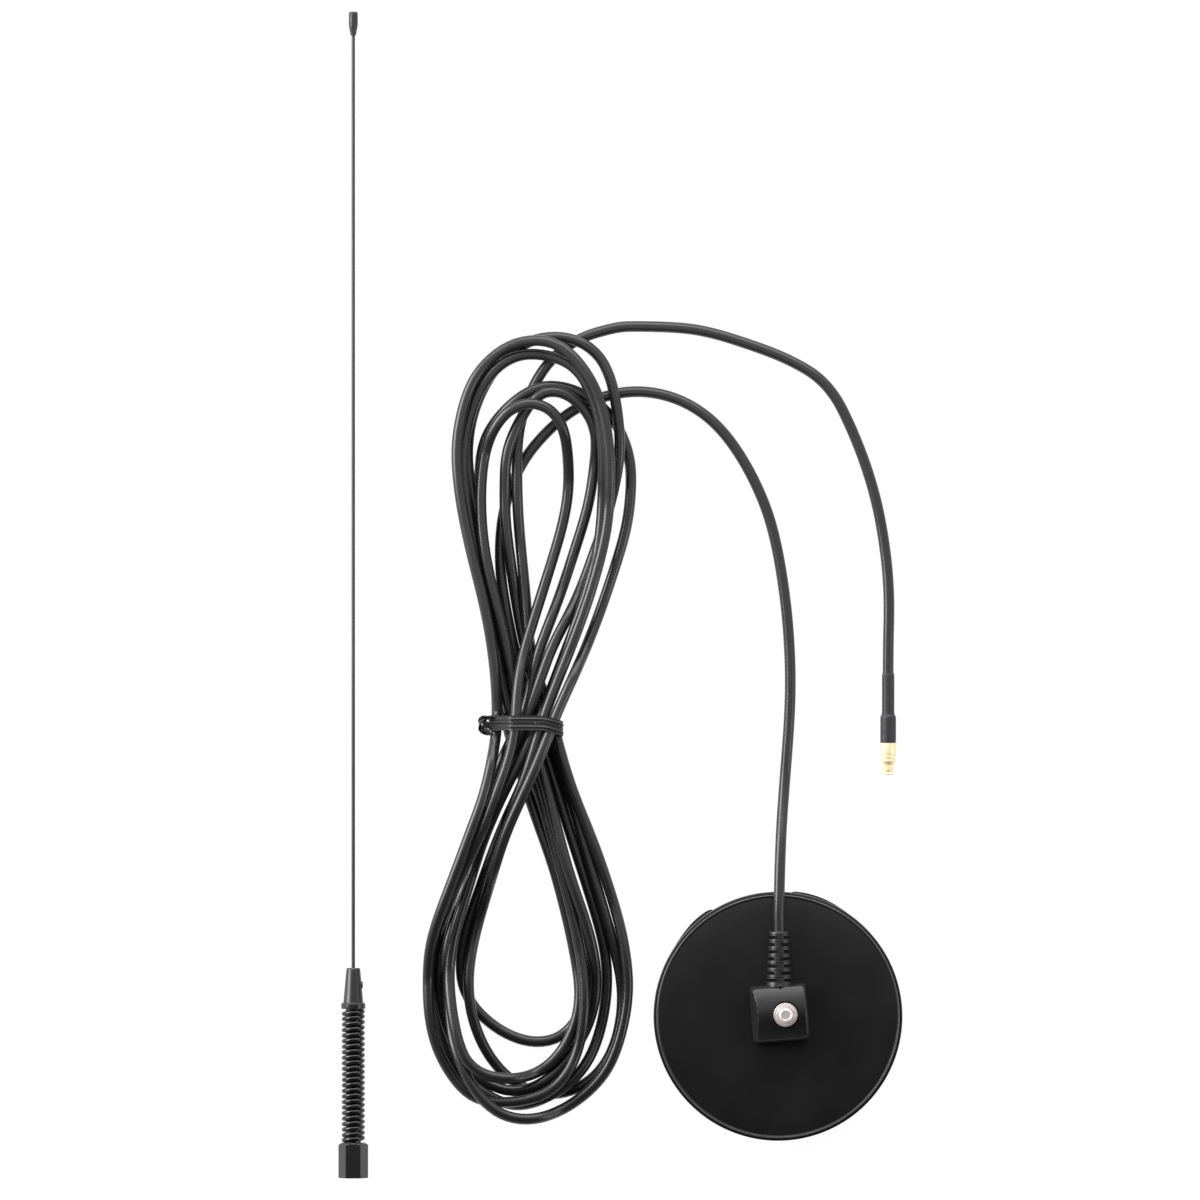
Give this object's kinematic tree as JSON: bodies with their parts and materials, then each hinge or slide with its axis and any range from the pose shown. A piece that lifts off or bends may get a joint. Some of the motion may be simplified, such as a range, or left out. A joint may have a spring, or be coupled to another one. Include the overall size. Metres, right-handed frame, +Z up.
{
  "type": "magnetic mount whip antenna",
  "caption": "Mobile whip antenna in its loose state: magnetic base with stud and boot, sprung whip lying beside it, and a coiled, tied feed cable ending in a small gold plug.",
  "frame": {"origin": "middle of the magnet base, on the face that sits on the bench", "axes": "+Y toward the whip tip, along the whip and along the cable leaving the base; +X to the right with the coil on the -X side; +Z up"},
  "size_m": [0.2255, 0.4662, 0.031],
  "materials": {
    "cup_paint": "satin black stove enamel",
    "ferrite": "matte grey-black ferrite",
    "pad_rubber": "matte black sheet rubber",
    "boot_rubber": "matte black moulded rubber",
    "plated_steel": "bright nickel plate",
    "zinc_steel": "dull zinc plate",
    "nylon": "natural nylon",
    "tag_brass": "tinned brass",
    "copper": "bare copper",
    "jacket": "black PVC cable jacket",
    "tie_ribbon": "black plastic ribbon over wire",
    "shrink_sleeve": "dark grey heat-shrink tube",
    "plug_gold": "bright gold plate",
    "ptfe": "white PTFE",
    "black_chrome": "glossy black plate",
    "rod_steel": "black plated spring steel",
    "cap_plastic": "black moulded cap",
    "core_sleeve": "black sleeve over copper braid"
  },
  "bodies": {
    "base": {"base_cup": "cup_paint", "magnet_ring": "ferrite", "magnet_pad": "pad_rubber", "edge_gasket": "pad_rubber", "stud": "plated_steel", "stud_collar": "plated_steel", "insulator_bush": "nylon", "insulator_washer": "nylon", "stud_tag": "tag_brass", "lock_washer": "zinc_steel", "stud_nut": "zinc_steel", "cable_boot": "boot_rubber", "strain_relief": "boot_rubber", "centre_wire": "copper", "ground_tag": "tag_brass", "ground_rivet": "zinc_steel", "cable_tail": "jacket"},
    "cable": {"cable_coil": "jacket", "twist_tie": "tie_ribbon"},
    "lead": {"cable_lead": "jacket"},
    "plug": {"plug_tail": "jacket", "shrink_long": "shrink_sleeve", "shrink_short": "shrink_sleeve", "crimp_ferrule": "tag_brass", "plug_body": "plug_gold", "plug_contact": "plug_gold", "plug_insulator": "ptfe", "plug_pin": "plug_gold"},
    "coupling": {"hex_coupling": "black_chrome", "whip_spring": "black_chrome"},
    "shunt": {"shunt_core": "core_sleeve"},
    "ferrule": {"whip_ferrule": "black_chrome"},
    "grub": {"grub_screw": "rod_steel"},
    "whip": {"whip_rod": "rod_steel", "tip_cap": "cap_plastic"}
  },
  "joints": [
    {"name": "cable_swing", "type": "hinge", "parent": "base", "child": "cable", "pos_m": [0.001, 0.03395, 0.016], "axis": [0, 0, 1], "range_deg": [-8, 8]},
    {"name": "lead_swing", "type": "hinge", "parent": "cable", "child": "lead", "pos_m": [-0.047, 0.2756, 0.0022], "axis": [0, 0, 1], "range_deg": [-6, 10]},
    {"name": "plug_lift", "type": "hinge", "parent": "lead", "child": "plug", "pos_m": [0.0441, 0.15, 0.00335], "axis": [-1, 0, 0], "range_deg": [0, 40]},
    {"name": "whip_lift", "type": "slide", "parent": "base", "child": "coupling", "axis": [0, 0, 1], "range_m": [0, 0.12]},
    {"name": "spring_bend_side", "type": "hinge", "parent": "coupling", "child": "shunt", "pos_m": [-0.1697, -0.0394, 0.0052], "axis": [0, 0, 1], "range_deg": [0, 45], "deforming": ["whip_spring"]},
    {"name": "spring_bend_up", "type": "hinge", "parent": "shunt", "child": "ferrule", "pos_m": [-0.1697, -0.0078, 0.0052], "axis": [1, 0, 0], "range_deg": [0, 45], "deforming": ["whip_spring"]},
    {"name": "rod_adjust", "type": "slide", "parent": "ferrule", "child": "whip", "axis": [0, 1, 0], "range_m": [-0.0025, 0.0035]},
    {"name": "grub_turn", "type": "hinge", "parent": "ferrule", "child": "grub", "pos_m": [-0.1697, 0.0125, 0.0052], "axis": [1, 0, 0], "continuous": true}
  ]
}
